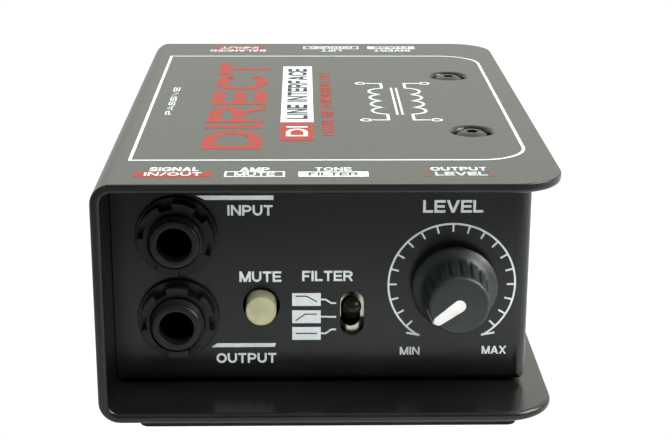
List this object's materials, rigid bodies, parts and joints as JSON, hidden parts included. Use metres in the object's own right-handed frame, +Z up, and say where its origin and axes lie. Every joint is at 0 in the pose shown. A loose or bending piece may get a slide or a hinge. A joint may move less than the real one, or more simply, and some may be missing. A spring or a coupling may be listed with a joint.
{
  "type": "direct injection box",
  "caption": "Folded steel direct injection box with recessed panels: jack sockets, mute button, filter toggle and level knob in front, balanced socket and slide switches behind.",
  "frame": {"origin": "centre of the footprint, at the underside of the rubber pad", "axes": "+Z up, +Y from the control panel to the back panel, +X to the right seen from the front, where the case is open-sided"},
  "size_m": [0.084, 0.127, 0.0469],
  "materials": {
    "powder_coat": "satin black powder coat",
    "pad_rubber": "matt",
    "black_steel": "black oxide",
    "black_plastic": "satin",
    "nickel": "bright",
    "steel": "plain",
    "gold": "gold plated",
    "beige_plastic": "satin",
    "white_plastic": "satin",
    "blue_plastic": "satin",
    "board": "solder mask"
  },
  "bodies": {
    "case": {"outer_shell": "powder_coat", "inner_chassis": "powder_coat", "rubber_pad": "pad_rubber", "screw_top_front": "black_steel", "screw_top_back": "black_steel", "screw_bottom_front": "black_steel", "screw_bottom_back": "black_steel", "input_jack_body": "black_plastic", "input_jack_sleeve": "nickel", "input_jack_nut": "black_plastic", "input_jack_washer": "black_plastic", "input_tip_spring": "nickel", "output_jack_body": "black_plastic", "output_jack_sleeve": "nickel", "output_jack_nut": "black_plastic", "output_jack_washer": "black_plastic", "output_tip_spring": "nickel", "level_pot_body": "steel", "level_pot_nut": "nickel", "level_pot_washer": "nickel", "mute_switch_case": "black_plastic", "filter_frame": "nickel", "filter_switch_case": "blue_plastic", "xlr_housing": "black_plastic", "xlr_insert": "black_plastic", "xlr_contact_1": "gold", "xlr_contact_2": "gold", "xlr_contact_3": "gold", "xlr_screw_low": "black_steel", "xlr_screw_high": "black_steel", "ground_switch_case": "steel", "phase_switch_case": "steel", "control_board": "board", "transformer_base": "steel", "transformer_can": "nickel", "transformer_screw_left": "steel", "transformer_screw_right": "steel"},
    "level_knob_set": {"level_knob": "black_plastic", "level_pointer": "white_plastic", "level_shaft": "steel"},
    "mute_button": {"mute_cap": "beige_plastic", "mute_plunger": "white_plastic"},
    "filter_toggle": {"filter_lever": "black_plastic"},
    "xlr_release": {"xlr_latch": "nickel"},
    "ground_switch": {"ground_slider": "black_plastic"},
    "phase_switch": {"phase_slider": "black_plastic"}
  },
  "joints": [
    {"name": "level_turn", "type": "hinge", "parent": "case", "child": "level_knob_set", "pos_m": [0.0236, -0.0568, 0.0234], "axis": [0, 1, 0], "range_deg": [-23, 277]},
    {"name": "mute_press", "type": "slide", "parent": "case", "child": "mute_button", "axis": [0, 1, 0], "range_m": [0, 0.0025], "stiffness_N_per_m": 300, "springref_m": -0.001},
    {"name": "filter_flip", "type": "hinge", "parent": "case", "child": "filter_toggle", "pos_m": [0.0046, -0.0453, 0.01755], "axis": [1, 0, 0], "range_deg": [0, 36]},
    {"name": "xlr_release_press", "type": "slide", "parent": "case", "child": "xlr_release", "axis": [0, -1, 0], "range_m": [0, 0.0015], "stiffness_N_per_m": 400, "springref_m": -0.001},
    {"name": "ground_slide", "type": "slide", "parent": "case", "child": "ground_switch", "axis": [1, 0, 0], "range_m": [0, 0.0036]},
    {"name": "phase_slide", "type": "slide", "parent": "case", "child": "phase_switch", "axis": [1, 0, 0], "range_m": [0, 0.0036]}
  ]
}
